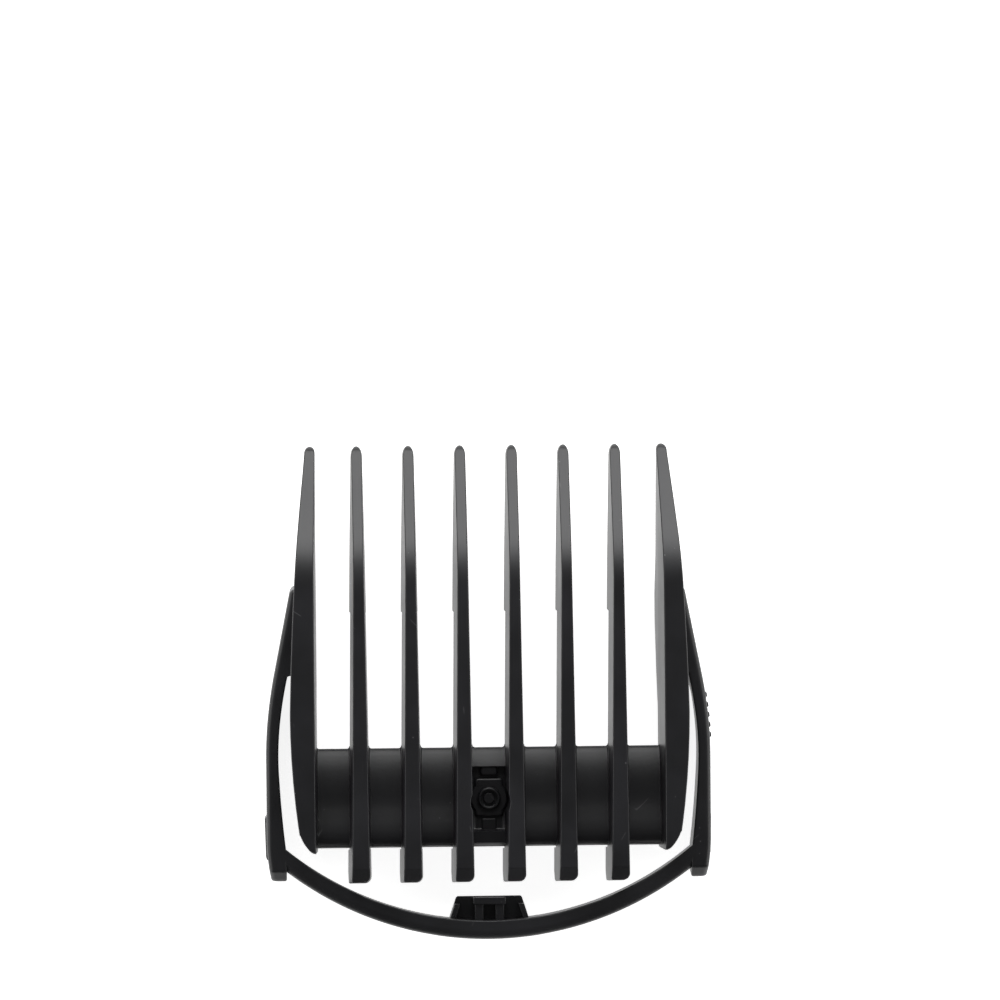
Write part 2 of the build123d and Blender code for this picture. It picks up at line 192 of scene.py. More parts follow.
def mouldedPlastic(name, drawLines, sheen, grainShare=1.0):
    # injection moulded ABS: near black and satin, with a spark-eroded grain and the draw lines of
    # its ejection along Y; a little dust and a few hairs keep it from reading as flat black
    look = plasticLook
    material = bpy.data.materials.new(name)
    material.use_nodes = True
    tree = material.node_tree
    shader = tree.nodes["Principled BSDF"]
    where = addNode(tree, "ShaderNodeTexCoord").outputs["Object"]

    # slow clouds move both the colour and the gloss
    cloud = addNode(
        tree, "ShaderNodeTexNoise", {"Scale": perMetre / look["cloudMm"], "Detail": 3.0}, {"Vector": where}
    )
    clouded = addNode(
        tree, "ShaderNodeMapRange", {"From Min": look["cloudFrom"], "From Max": look["cloudTo"]},
        {"Value": cloud.outputs[0]},
    )
    body = addNode(
        tree, "ShaderNodeMix",
        {"data_type": "RGBA", 6: linear(look["colour"]), 7: linear(look["worn"])}, {0: clouded.outputs[0]},
    )
    rough = addNode(
        tree, "ShaderNodeMapRange",
        {"To Min": look["roughness"] - sheen, "To Max": look["roughness"] + look["roughSpread"]},
        {"Value": cloud.outputs[0]},
    )
    tree.links.new(rough.outputs[0], shader.inputs["Roughness"])

    # dust: small round specks that lie in patches
    specks = addNode(tree, "ShaderNodeTexVoronoi", {"Scale": perMetre / look["speckMm"]}, {"Vector": where})
    dustSpot = addNode(
        tree, "ShaderNodeMapRange", {"From Min": look["speckFrom"], "From Max": look["speckTo"]},
        {"Value": specks.outputs["Distance"]},
    )
    patches = addNode(tree, "ShaderNodeTexNoise", {"Scale": perMetre / look["patchMm"]}, {"Vector": where})
    dustPatch = addNode(
        tree, "ShaderNodeMapRange", {"From Min": look["patchFrom"], "From Max": look["patchTo"]},
        {"Value": patches.outputs[0]},
    )
    dust = addNode(
        tree, "ShaderNodeMath", {"operation": "MULTIPLY"}, {0: dustSpot.outputs[0], 1: dustPatch.outputs[0]}
    )

    # hairs: thin wandering lines, broken up by a second noise
    wander = addNode(
        tree, "ShaderNodeTexNoise",
        {"Scale": perMetre / look["hairMm"], "Detail": 0.0, "Distortion": 0.2}, {"Vector": where},
    )
    offLine = addNode(tree, "ShaderNodeMath", {"operation": "SUBTRACT", 1: 0.5}, {0: wander.outputs[0]})
    nearLine = addNode(tree, "ShaderNodeMath", {"operation": "ABSOLUTE"}, {0: offLine.outputs[0]})
    hairLine = addNode(
        tree, "ShaderNodeMapRange", {"From Min": look["hairFrom"], "From Max": look["hairTo"]},
        {"Value": nearLine.outputs[0]},
    )
    few = addNode(
        tree, "ShaderNodeTexNoise", {"Scale": perMetre / look["hairBreakMm"], "Detail": 0.0}, {"Vector": where}
    )
    hairPart = addNode(
        tree, "ShaderNodeMapRange", {"From Min": look["breakFrom"], "From Max": look["breakTo"]},
        {"Value": few.outputs[0]},
    )
    hair = addNode(
        tree, "ShaderNodeMath", {"operation": "MULTIPLY"}, {0: hairLine.outputs[0], 1: hairPart.outputs[0]}
    )
    faint = addNode(
        tree, "ShaderNodeMath", {"operation": "MULTIPLY", 1: look["hairShare"]}, {0: hair.outputs[0]}
    )
    marked = addNode(
        tree, "ShaderNodeMath", {"operation": "MAXIMUM"}, {0: dust.outputs[0], 1: faint.outputs[0]}
    )
    softDust = addNode(
        tree, "ShaderNodeMath", {"operation": "MULTIPLY", 1: look["dustShare"]}, {0: marked.outputs[0]}
    )
    dusty = addNode(
        tree, "ShaderNodeMix", {"data_type": "RGBA", 7: linear(look["dust"])},
        {0: softDust.outputs[0], 6: body.outputs[2]},
    )
    tree.links.new(dusty.outputs[2], shader.inputs["Base Color"])

    # the grain, with the draw lines on top of it
    grain = addNode(
        tree, "ShaderNodeTexNoise", {"Scale": perMetre / look["grainMm"], "Detail": 2.0}, {"Vector": where}
    )
    grainBump = addNode(
        tree, "ShaderNodeBump",
        {"Strength": look["bump"], "Distance": look["grainDeep"] * grainShare * mm},
        {"Height": grain.outputs[0]},
    )
    wide, long = perMetre / look["lineWideMm"], perMetre / look["lineLongMm"]
    stretched = addNode(tree, "ShaderNodeMapping", {"Scale": (wide, long, wide)}, {"Vector": where})
    lines = addNode(
        tree, "ShaderNodeTexNoise", {"Scale": 1.0, "Detail": 1.0}, {"Vector": stretched.outputs[0]}
    )
    lineBump = addNode(
        tree, "ShaderNodeBump", {"Strength": look["bump"], "Distance": drawLines * mm},
        {"Height": lines.outputs[0], "Normal": grainBump.outputs[0]},
    )
    tree.links.new(lineBump.outputs[0], shader.inputs["Normal"])
    shader.inputs["IOR"].default_value = 1.5
    return material


plastics = {
    "tooth_plastic": mouldedPlastic("moulded ABS, drawn teeth", 0.006, 0.04),
    "bar_plastic": mouldedPlastic("moulded ABS, eroded grain", 0.002, 0.0, 2.6),
    "arm_plastic": mouldedPlastic("moulded ABS, satin arm", 0.004, 0.02),
    "strap_plastic": mouldedPlastic("moulded ABS, satin strap", 0.003, 0.01),
}
print("materials made")


# what several pieces share: the side view, tips at +Y and the skin edge on top,
# the pocket in the bar's middle and the places where the arms leave the guards
sideView = {
    "tipY": 32.1, "tipZ": 7.0, "tipDeep": 1.5, "tipRound": 0.66,
    "bendY": 17.5, "bendSpread": 3.3, "skinZ": 14.7, "crownZ": 15.0, "heelY": -24.8, "heelLean": 0.9,
    "bedTop": 10.5, "bedEnd": -20.5, "bedZ": 7.6, "stopZ": 5.2,
}
pocketPlace = {"low": -17.78, "high": -9.6, "floor": 0.45, "boreRadius": 2.54}
pocketY = (pocketPlace["low"] + pocketPlace["high"]) / 2
armPivot = {"x": 26.933, "y": 2.2}


def skinLine(y):
    # height of the skin edge: a slight crown, a soft bend, then the straight fall to the tip
    view = sideView
    middle = (view["heelY"] + view["heelLean"] + view["bendY"]) / 2
    half = view["bendY"] - middle
    rise = view["crownZ"] - view["skinZ"]
    start = view["bendY"] - view["bendSpread"]
    if y <= start:
        return view["crownZ"] - rise * ((y - middle) / half) ** 2
    crownSlope = -2 * rise / half
    fallSlope = (view["tipZ"] - view["skinZ"]) / (view["tipY"] - view["bendY"])
    if y >= view["bendY"] + view["bendSpread"]:
        return view["skinZ"] + fallSlope * (y - view["bendY"])
    line = view["skinZ"] + crownSlope * (y - view["bendY"])
    return line + (fallSlope - crownSlope) * (y - start) ** 2 / (4 * view["bendSpread"])


def tipRows():
    # (y, distance from the tip), close together where the tip is round and over the bend
    edges = (0.0, 0.02, 0.07, 0.15, 0.26, 0.4, 0.56, 0.74, 1.0, 1.2, 1.4)
    rows = [(sideView["tipY"] - edge, edge) for edge in edges]
    return rows + [(y, farAway) for y in (29.5, 27.0, 24.0, 21.6, *spaced(20.8, 14.2, 12))]


toothSizes = {
    "count": 6, "pitch": 6.7073, "heelWide": 2.34, "bendWide": 1.30, "tipWide": 0.78, "tipPoint": 1.35,
    "draft": 2.2, "skinEdge": 0.17, "rearEdge": 0.13, "leftCorner": 0.2, "rightCorner": 0.85,
    "heelChamfer": 1.3, "heelSlope": 2.6, "heelFall": 0.9, "leanFrom": 4.2, "leanLong": 3.6,
    "stepLong": 0.04, "thinnest": 0.06,
}


def toothSection(centreX, bite, y, top, rear, width, narrow=0.0, corners=(0.0, 0.0), lean=0.0):
    # one ring of a tooth; bite is the side of the comb whose tooth is hollowed round the gate
    view, tooth = sideView, toothSizes
    draft = math.tan(math.radians(tooth["draft"]))
    endLow = view["stopZ"] + tooth["heelChamfer"]
    ring = []
    for z, side in ((top, 1), (rear, 1), (rear, -1), (top, -1)):
        along = y + lean * max(0.0, z - endLow) / (view["skinZ"] - endLow)
        corner = corners[0] if side > 0 else corners[1]
        half = (width / 2 + draft * (view["crownZ"] - z)) * (1 - narrow) - corner
        x = centreX + side * max(half, tooth["thinnest"])
        reach = pocketPlace["boreRadius"] ** 2 - (y - pocketY) ** 2
        if bite and reach > 0 and side == -bite:
            room = math.sqrt(reach)
            if abs(x) < room:
                x = bite * room
        ring.append(Vector((x, along, z)))
    return softRing(ring, [tooth["skinEdge"], tooth["rearEdge"], tooth["rearEdge"], tooth["skinEdge"]])


def toothRings(centreX, bite):
    view, tooth = sideView, toothSizes
    pastHeel = view["heelY"] - 1
    rearLine = [
        (view["tipY"], view["tipZ"] - view["tipDeep"]),
        (view["bedTop"] + tooth["stepLong"], view["stopZ"]), (view["bedTop"], view["bedZ"]),
        (view["bedEnd"] + tooth["stepLong"], view["bedZ"]), (view["bedEnd"], view["stopZ"]),
        (pastHeel, view["stopZ"]),
    ]
    widthLine = [
        (view["tipY"], tooth["tipWide"]), (view["bendY"], tooth["bendWide"]),
        (pastHeel, tooth["heelWide"] + 0.02),
    ]
    # close together at the bed's two steps and beside the gate
    below = (12.6, 11.2, 10.62, 10.54, 10.5, 10.42, 10.3, 7.0, 3.0, -1.0, -4.5, -7.0, -9.5)
    lower = (-18.0, -19.6, -20.3, -20.42, -20.46, -20.5, -20.6)
    rows = tipRows() + [(y, farAway) for y in (*below, *spaced(-10.8, -16.6, 26), *lower)]
    rings = []
    for y, edge in rows:
        pull = ease(edge, view["tipRound"])
        narrow = ease(edge / tooth["tipPoint"], 1.0)
        top, rear = skinLine(y) - pull, polyAt(rearLine, y) + pull
        rings.append(toothSection(centreX, bite, y, top, rear, polyAt(widthLine, y), narrow))
    heelEdges = (
        4.1, 3.6, 3.1, 2.6, 2.38, 2.27, 2.18, 2.1, 1.98, 1.82, 1.65, 1.3,
        1.15, 0.98, 0.8, 0.62, 0.5, 0.36, 0.24, 0.14, 0.06, 0.02, 0.0,
    )
    slopeLong = tooth["heelSlope"] - view["heelLean"]
    for edge in heelEdges:
        y = view["heelY"] + edge
        lean = view["heelLean"] * min(1.0, (tooth["leanFrom"] - edge) / tooth["leanLong"])
        fall = tooth["heelFall"] * max(0.0, 1 - (edge + lean - view["heelLean"]) / slopeLong)
        top = skinLine(y + lean) - fall
        rear = view["stopZ"] + max(0.0, tooth["heelChamfer"] - edge)
        corners = (ease(edge, tooth["rightCorner"]), ease(edge, tooth["leftCorner"]))
        width = polyAt(widthLine, y)
        rings.append(toothSection(centreX, bite, y, top, rear, width, 0.0, corners, lean))
    return rings


middleOne = (toothSizes["count"] - 1) / 2
toothCentres = [(index - middleOne) * toothSizes["pitch"] for index in range(toothSizes["count"])]
for index, centreX in enumerate(toothCentres):
    bite = {2: -1, 3: 1}.get(index, 0)
    tooth = makePiece(f"tooth{index + 1}", [toothRings(centreX, bite)], plastics["tooth_plastic"])
    place(tooth, "comb", "tooth_plastic", f"inner_tooth_{index + 1}")
print("teeth made")


guardSizes = {
    "inner": 22.588, "outer": 25.788, "heelWide": 1.95, "tipWide": 1.3, "tipInset": 0.05, "tipPoint": 0.75,
    "lean": 3.0, "bellyY": -2.0, "endY": -20.45, "corner": 1.7, "cornerBlend": 1.3, "toe": 0.45,
    "lowerFall": 0.3, "upperBow": 0.27, "footRear": 5.4, "foot": (8.7, 12.3), "bendRear": 2.4,
    "topRound": 0.5, "rearRound": 0.3, "edge": 0.2, "kneeEdge": 0.4, "endLean": 0.3, "leanFrom": -18,
}


def guardOuter(y):
    # the outer face: a cut corner at the heel, a belly, then a long taper to the tip
    guard = guardSizes
    cutTop = (guard["inner"] + guard["heelWide"], guard["endY"] + guard["corner"])
    belly = (guard["outer"], guard["bellyY"])
    if y > guard["bellyY"]:
        tip = (guard["inner"] - guard["tipInset"] + guard["tipWide"], sideView["tipY"])
        middle = ((belly[0] + tip[0]) / 2 + guard["upperBow"], (belly[1] + tip[1]) / 2)
        return curveThrough(belly, middle, tip, y)
    middle = (guard["outer"] - guard["lowerFall"], (cutTop[1] + guard["bellyY"]) / 2)
    toeX = guard["inner"] + guard["toe"]
    blend = guard["cornerBlend"]
    share = (y - cutTop[1] + blend) / (2 * blend)
    if share <= 0:
        return toeX + (cutTop[0] - toeX) * max(0.0, y - guard["endY"]) / guard["corner"]
    if share < 1:
        below = cutTop[0] - (cutTop[0] - toeX) * blend / guard["corner"]
        above = curveThrough(cutTop, middle, belly, cutTop[1] + blend)
        return bent(below, cutTop[0], above, share)
    return curveThrough(cutTop, middle, belly, y)


def guardRings():
    view, guard = sideView, guardSizes
    lean = math.tan(math.radians(guard["lean"]))
    rearLine = [
        (view["tipY"], view["tipZ"] - view["tipDeep"]), (view["bendY"], view["stopZ"] - guard["bendRear"]),
        (guard["foot"][1], 0.0), (guard["foot"][0], 0.0), (armPivot["y"], guard["footRear"] / 2),
        (guard["bellyY"] - 0.4, guard["footRear"]),
    ]
    below = (
        12.9, 12.5, 12.3, 12.0, 10.5, 9.0, 8.7, 8.4, 7.0, 5.0, 3.0, 2.2, 1.0, -1.0, -2.2, -2.4, -2.7,
        -5.0, -8.0, -11.0, -14.0, -16.5, -17.7, -18.1, -18.5, -18.8, -19.1, -19.35,
    )
    rows = tipRows() + [(y, farAway) for y in below]
    rows += [(guard["endY"] + e, e) for e in (1.0, 0.8, 0.6, 0.45, 0.3, 0.2, 0.12, 0.06, 0.02, 0.0)]
    rings = []
    for y, edge in rows:
        top = skinLine(y)
        rear = polyAt(rearLine, y)
        taperLong = view["tipY"] - view["bedTop"]
        inner = guard["inner"] - guard["tipInset"] * max(0.0, y - view["bedTop"]) / taperLong
        outer = guardOuter(y)
        if y > 0:
            pull = ease(edge, view["tipRound"])
            top, rear = top - pull, rear + pull
            close = 0.5 * (outer - inner) * ease(edge / guard["tipPoint"], 1.0)
            inner, outer = inner + close, outer - close
        else:
            top -= ease(edge, guard["topRound"])
            rear += ease(edge, guard["rearRound"])
            outer -= 0.6 * ease(edge, guard["topRound"])
        # the guard leans above the bed and stands upright below it; the knee is where that changes
        knee = min(max(view["bedZ"], rear + 0.35 * (top - rear)), rear + 0.7 * (top - rear))
        corners = []
        for x, z in ((outer, top), (outer, knee), (outer, rear), (inner, rear), (inner, knee), (inner, top)):
            shift = lean * min(view["crownZ"] - z, view["crownZ"] - view["bedZ"])
            ahead = guard["endLean"] * (z - rear) / (top - rear) if y < guard["leanFrom"] else 0.0
            corners.append(Vector((x - shift, y + ahead, z)))
        rings.append(softRing(corners, [guard["edge"], guard["kneeEdge"], guard["edge"]] * 2))
    return rings


guardMade = guardRings()
for side, flip in (("right", False), ("left", True)):
    guard = makePiece(f"{side}Guard", [guardMade], plastics["tooth_plastic"], mirror=flip)
    place(guard, "comb", "tooth_plastic", f"{side}_guard")
print("guards made")


# the bar's front is a shallow trough; each row is (y, rise above the bed), from its top down
barSizes = {
    "top": -7.1, "bottom": -19.9, "fillet": 0.12, "flare": 0.36, "rearEdge": 0.12, "bottomRise": 1.75,
    "front": (
        (-7.4, 0.7), (-8.0, 1.01), (-9.0, 1.39), (-10.0, 1.66), (-11.0, 1.86), (-12.0, 1.99), (-13.0, 2.08),
        (-13.9, 2.15), (-14.9, 2.31), (-16.4, 2.66), (-17.6, 2.87), (-18.4, 2.93), (-19.0, 2.86), (-19.55, 2.5),
    ),
    "abovePocket": ((-7.4, 0.6), (-8.0, 0.93), (-9.0, 1.34)),
    "toothSink": 0.12, "middleRise": 1.4, "guardDrop": 6.0, "intoGuard": 0.9,
}


def barRing(x, gap, pocket):
    # the trough section at x; gap is the distance to the nearest tooth's side
    bar = barSizes
    fillet = ease(max(gap, 0.0), bar["fillet"])
    flare = ease(max(gap, 0.0), bar["flare"])
    base = sideView["bedZ"]
    if pocket:
        low, high = pocketPlace["low"], pocketPlace["high"]
        floor = base + pocketPlace["floor"]
        points = [(bar["top"] + flare, base + 0.3)] + [(y, base + rise) for y, rise in bar["abovePocket"]]
        points += [
            (high + 0.12, base + 1.5), (high, base + 1.42), (high - 0.05, floor + 0.1), (high - 0.2, floor),
            (-13.0, floor), (-14.0, floor), (low + 0.2, floor), (low + 0.05, floor + 0.1),
            (low, base + 2.84), (low - 0.04, base + 2.88), (-19.3, base + 2.7),
            (bar["bottom"], base + bar["bottomRise"]),
        ]
    else:
        points = [(bar["top"] + flare, base + 0.4)] + [(y, base + rise) for y, rise in bar["front"]]
        points += [(bar["bottom"], base + bar["bottomRise"])]
        points = [(y, z + fillet) for y, z in points]
    edge = bar["rearEdge"]
    points += [
        (bar["bottom"], base + edge), (bar["bottom"] + edge, base),
        (bar["top"] - edge, base), (bar["top"], base + edge),
    ]
    return [Vector((x, y, z)) for y, z in points]


def barRun(x0, x1, flat0, flat1, pocket=False):
    # rings from x0 to x1; between flat0 and flat1 the bar is bare, beyond them it is inside a tooth
    inside = [0.0, 0.03, 0.07, 0.12, 0.2, 0.28, 0.36, 0.6]
    places = [x0] + [flat0 + d for d in inside] + [flat1 - d for d in reversed(inside)] + [x1]
    return [barRing(x, min(x - flat0, flat1 - x), pocket) for x in places]


# half a tooth's width at the middle of the bar's front, and the guards' inner faces there
frontZ = sideView["bedZ"] + barSizes["middleRise"]
toothDraft = math.tan(math.radians(toothSizes["draft"]))
toothHalf = toothSizes["heelWide"] / 2 - barSizes["toothSink"] + toothDraft * (sideView["crownZ"] - frontZ)
guardFace = guardSizes["inner"] - math.tan(math.radians(guardSizes["lean"])) * barSizes["guardDrop"]
barEnd = guardFace + barSizes["intoGuard"]
firstX, lastX = toothCentres[0], toothCentres[-1]
barLofts = [barRun(-barEnd, firstX, -guardFace, firstX - toothHalf)]
for x0, x1 in zip(toothCentres, toothCentres[1:]):
    barLofts.append(barRun(x0, x1, x0 + toothHalf, x1 - toothHalf, pocket=x0 < 0 < x1))
barLofts.append(barRun(lastX, barEnd, lastX + toothHalf, guardFace))
crossBar = makePiece("crossBar", barLofts, plastics["bar_plastic"])
place(crossBar, "comb", "bar_plastic", "cross_bar")


gateSizes = {
    "padHalf": 1.85, "roundHalf": 2.44, "padLow": -16.08, "padHigh": -11.08, "padRise": 0.55,
    "padEdge": 0.42, "padRim": 0.3, "ringOut": 1.5, "ringIn": 1.02, "ringRise": 0.6,
    "pip": 0.8, "pipRise": 0.3, "sink": 0.1,
    "upperHalf": 1.15, "upperRise": 0.8, "lowerHalf": 0.95, "lowerRise": 0.28,
}


def brick(x0, x1, y0, y1, z0, z1, edge, rim):
    # a block with softened upright edges and a softened top rim
    rows = ((z0, 0.0), (z1 - rim, 0.0), (z1 - 0.6 * rim, 0.1 * rim), (z1 - 0.25 * rim, 0.34 * rim), (z1, rim))
    rings = []
    for z, pull in rows:
        left, right, near, far = x0 + pull, x1 - pull, y0 + pull, y1 - pull
        rings.append(levelRing([(left, near), (right, near), (right, far), (left, far)], [edge] * 4, z))
    return rings


def roundRing(radius, z, steps):
    # a plain circle about the gate's upright axis
    angles = spaced(0, 2 * math.pi * (steps - 1) / steps, steps)
    return [Vector((radius * math.cos(angle), pocketY + radius * math.sin(angle), z)) for angle in angles]


def turned(profile, steps=40):
    # a closed round piece turned about the gate's upright axis; the profile is (radius, z) points
    rings = []
    for k in range(steps):
        angle = 2 * math.pi * k / steps
        rings.append([Vector((r * math.cos(angle), pocketY + r * math.sin(angle), z)) for r, z in profile])
    return rings


gate = gateSizes
floorZ = sideView["bedZ"] + pocketPlace["floor"]
floorLow = floorZ - gate["sink"]
padTop = floorZ + gate["padRise"]
padSunk = padTop - gate["sink"]
roundRows = ((0.0, floorLow), (0.0, padTop - 0.25), (0.06, padTop - 0.1), (0.25, padTop - 0.005))
padLofts = [
    brick(
        -gate["padHalf"], gate["padHalf"], gate["padLow"], gate["padHigh"],
        floorLow, padTop, gate["padEdge"], gate["padRim"],
    ),
    [roundRing(gate["roundHalf"] - pull, z, 48) for pull, z in roundRows],
    brick(
        -gate["upperHalf"], gate["upperHalf"], pocketPlace["high"] - 1.15, pocketPlace["high"] + 0.2,
        floorLow, floorZ + gate["upperRise"], 0.3, 0.3,
    ),
    brick(
        -gate["lowerHalf"], gate["lowerHalf"], pocketPlace["low"] - 0.1, gate["padLow"] - 0.25,
        floorLow, floorZ + gate["lowerRise"], 0.15, 0.15,
    ),
]
gatePad = makePiece("gatePad", padLofts, plastics["bar_plastic"])
place(gatePad, "comb", "bar_plastic", "gate_pad")
ringTop = padTop + gate["ringRise"]
ringOut, ringIn = gate["ringOut"], gate["ringIn"]
ringProfile = [
    (ringOut, padSunk), (ringOut, ringTop - 0.2), (ringOut - 0.06, ringTop - 0.06), (ringOut - 0.2, ringTop),
    (ringIn + 0.12, ringTop), (ringIn + 0.03, ringTop - 0.05), (ringIn, ringTop - 0.15), (ringIn, padSunk),
]
gateRing = makePiece("gateRing", [turned(ringProfile)], plastics["bar_plastic"], wrap=True)
place(gateRing, "comb", "bar_plastic", "gate_ring")
pipRows = ((0.0, padSunk), (0.0, padTop + 0.12), (0.05, padTop + 0.19), (0.2, padTop + gate["pipRise"]))
pipRings = [roundRing(gate["pip"] - pull, z, 32) for pull, z in pipRows]
gatePip = makePiece("gatePip", [pipRings], plastics["bar_plastic"])
place(gatePip, "comb", "bar_plastic", "gate_pip")
print("bar and gate made")


armSizes = {
    "deep": 9.0, "rootLong": 11.6, "rootSlope": 0.197, "rootRound": 0.75, "rootTopRound": 0.4,
    "half": 0.9, "outer": 28.883, "bowLong": 11.0, "thin": 1.6, "thinY": -7.6, "thinBlend": 3.5,
    "upperSwell": 0.22, "lowerSwell": 0.16, "thinSwell": 0.1, "footY": -20.8, "footThick": 2.6,
    "endY": -24.3, "endRound": 0.3, "toeStart": -18.8, "toeIn": 0.6, "edge": 0.22, "brow": 0.75,
    "draft": 0.3, "draftLong": 3.0, "facetLong": 1.5, "facetDeep": 1.4,
    "intoGuard": 0.9, "slitRound": 0.34, "slitFlare": 0.55, "bendHalf": 1.6,
}


def armOuter(y):
    # the outer face: a sloping root, a bow, a straight foot and a toe that turns in
    arm = armSizes
    start = armPivot["x"] + arm["half"]
    if y >= armPivot["y"]:
        return start - arm["rootSlope"] * (y - armPivot["y"])
    down = armPivot["y"] - y
    if down <= arm["bowLong"]:
        mean = (arm["outer"] - start) / arm["bowLong"]
        return start + arm["rootSlope"] * down - (arm["rootSlope"] - mean) * down * down / arm["bowLong"]
    if y >= arm["toeStart"]:
        return arm["outer"]
    share = (arm["toeStart"] - y) / (arm["toeStart"] - arm["endY"])
    return arm["outer"] - arm["toeIn"] * share * share


def armInner(y):
    # the inner face: inside the guard above the slit, then a leaf that thickens into the foot
    arm = armSizes
    innerX = armPivot["x"] - arm["half"]
    if y >= armPivot["y"] + arm["slitRound"]:
        return guardOuter(y) - arm["intoGuard"]
    if y >= armPivot["y"] - 0.01:
        return innerX - arm["slitFlare"] * (max(0.0, y - armPivot["y"]) / arm["slitRound"]) ** 3
    high = (innerX, armPivot["y"])
    thin = (arm["outer"] - arm["thin"], arm["thinY"])
    foot = (arm["outer"] - arm["footThick"], arm["footY"])
    upper = ((thin[0] + high[0]) / 2 + arm["upperSwell"], (thin[1] + high[1]) / 2)
    meanThick = (arm["thin"] + arm["footThick"]) / 2
    lower = (arm["outer"] - meanThick + arm["lowerSwell"], (thin[1] + foot[1]) / 2)
    blend = arm["thinBlend"]
    share = (y - thin[1] + blend) / (2 * blend)
    if 0 < share < 1:
        below = curveThrough(thin, lower, foot, thin[1] - blend)
        above = curveThrough(high, upper, thin, thin[1] + blend)
        return bent(below, thin[0] + arm["thinSwell"], above, share)
    if y >= thin[1]:
        return curveThrough(high, upper, thin, y)
    if y >= arm["footY"]:
        return curveThrough(thin, lower, foot, y)
    return foot[0]


def armRings():
    arm = armSizes
    top = armPivot["y"] + arm["rootLong"]
    # close together at the root's end, at the slit and at the foot's end
    rows = [top - e for e in (0.0, 0.06, 0.18, 0.36, 0.6, 1.0, 2.0, 4.0, 6.0, 8.0, 10.0, 10.9)]
    rows += [armPivot["y"] + d for d in (0.36, 0.34, 0.3, 0.24, 0.16, 0.08, 0.0, -0.3, -0.8)]
    rows += spaced(0.8, arm["thinY"], 12) + spaced(-8.2, -19.0, 12)
    rows += spaced(-19.5, arm["endY"] + 1.7, 6)
    rows += [arm["endY"] + e for e in (1.6, 1.5, 1.2, 0.8, 0.5, 0.3, 0.15, 0.06, 0.0)]
    rings = []
    for y in rows:
        end = y - arm["endY"]
        pull = ease(end, arm["endRound"])
        facet = arm["facetDeep"] * max(0.0, 1 - end / arm["facetLong"])
        outer = armOuter(y) - ease(top - y, arm["rootRound"]) - pull
        inner = armInner(y) + 0.6 * pull
        high = arm["deep"] - ease(top - y, arm["rootTopRound"]) - facet - 0.4 * pull
        inset = arm["draft"] * min(1.0, max(0.0, (armPivot["y"] - y) / arm["draftLong"]))
        corners = [(outer, high), (outer - arm["draft"] / 2, pull), (inner + inset, pull), (inner, high)]
        rings.append(crossRing(corners, [arm["brow"], arm["edge"], arm["edge"], arm["edge"] * 1.2], y, steps=6))
    return rings


# the rows of the ribs and marks are (y, rise), and their y is measured from the part and from the mark
thumbRibSizes = {
    "low": 3.2, "high": 5.8, "flare": 0.2, "sink": 0.15, "edges": (0.2, 0.2, 0.1, 0.1),
    "rows": (
        (-16.0, 0.0), (-16.1, 0.1), (-16.25, 0.18), (-16.5, 0.22),
        (-21.2, 0.22), (-21.5, 0.18), (-21.65, 0.1), (-21.75, 0.0),
    ),
}
markSizes = {
    "count": 5, "drop": 2.4, "pitch": 1.3, "low": 3.0, "high": 8.0, "sink": 0.3, "edges": (0.1, 0.1, 0.1, 0.1),
    "rows": ((0.0, 0.0), (0.05, 0.12), (0.14, 0.18), (0.56, 0.18), (0.65, 0.12), (0.7, 0.0)),
}


def raisedRing(y, rise, sizes, flare):
    # one ring of what stands on an arm's outer face
    face = armOuter(y)
    sunk = face - sizes["sink"]
    low, high = sizes["low"], sizes["high"]
    corners = [(face + rise, high), (face + rise, low), (sunk, low - flare), (sunk, high + flare)]
    return crossRing(corners, sizes["edges"], y)


armMade = armRings()
ribMade = [raisedRing(y, rise, thumbRibSizes, thumbRibSizes["flare"]) for y, rise in thumbRibSizes["rows"]]
for side, flip in (("right", False), ("left", True)):
    arm = makePiece(f"{side}Arm", [armMade], plastics["arm_plastic"], mirror=flip)
    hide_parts(f"{side}_arm_root", f"{side}_arm_leaf", f"{side}_arm_foot")
    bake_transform(arm)
    rib = makePiece(f"{side}ThumbRib", [ribMade], plastics["arm_plastic"], mirror=flip)
    place(rib, f"{side}_arm", "arm_plastic", f"{side}_thumb_rib")

markLofts = []
for index in range(markSizes["count"]):
    markTop = armPivot["y"] - markSizes["drop"] - index * markSizes["pitch"]
    markLofts.append([raisedRing(markTop - down, rise, markSizes, 0.0) for down, rise in markSizes["rows"]])
marks = makePiece("rightArmMarks", markLofts, plastics["arm_plastic"])
place(marks, "right_arm", "arm_plastic", "right_arm_marks")
print("arms made")


strapSizes = {
    "arcY": 10.73, "inner": 40.43, "outer": 42.83, "swell": 0.11, "low": 4.0, "high": 9.0,
    "edge": 0.2, "lean": 0.3, "shoulder": 0.9, "shoulderDeep": 0.5, "edges": (0.5, 0.2, 0.2, 0.2, 0.4),
    "endX": 27.2, "centreX": 6.6, "lap": 0.3, "footLap": 0.1, "shrink": 0.012,
}


def strapRings(x0, x1, count, shrink):
    # the strap's section swept along its arc, with a soft sloping shoulder on the outer side and
    # an inner side that swells towards the middle of the strap
    strap = strapSizes
    inner, outer = strap["inner"] + shrink, strap["outer"] - shrink
    low, high = strap["low"] + shrink, strap["high"] - shrink
    middle = (inner + outer) / 2
    hub = Vector((0.0, strap["arcY"], 0.0))
    rings = []
    for x in spaced(x0, x1, count):
        angle = math.asin(x / middle)
        swell = strap["swell"] * (1 - 2 * (x / strap["endX"]) ** 2)
        across = Vector((math.sin(angle), -math.cos(angle), 0.0))
        section = (
            (outer, high - strap["shoulderDeep"]), (outer, low), (inner + strap["lean"] - swell, low),
            (inner - swell, high), (outer - strap["shoulder"], high),
        )
        corners = [hub + across * radius + Vector((0, 0, z)) for radius, z in section]
        rings.append(softRing(corners, strap["edges"]))
    return rings


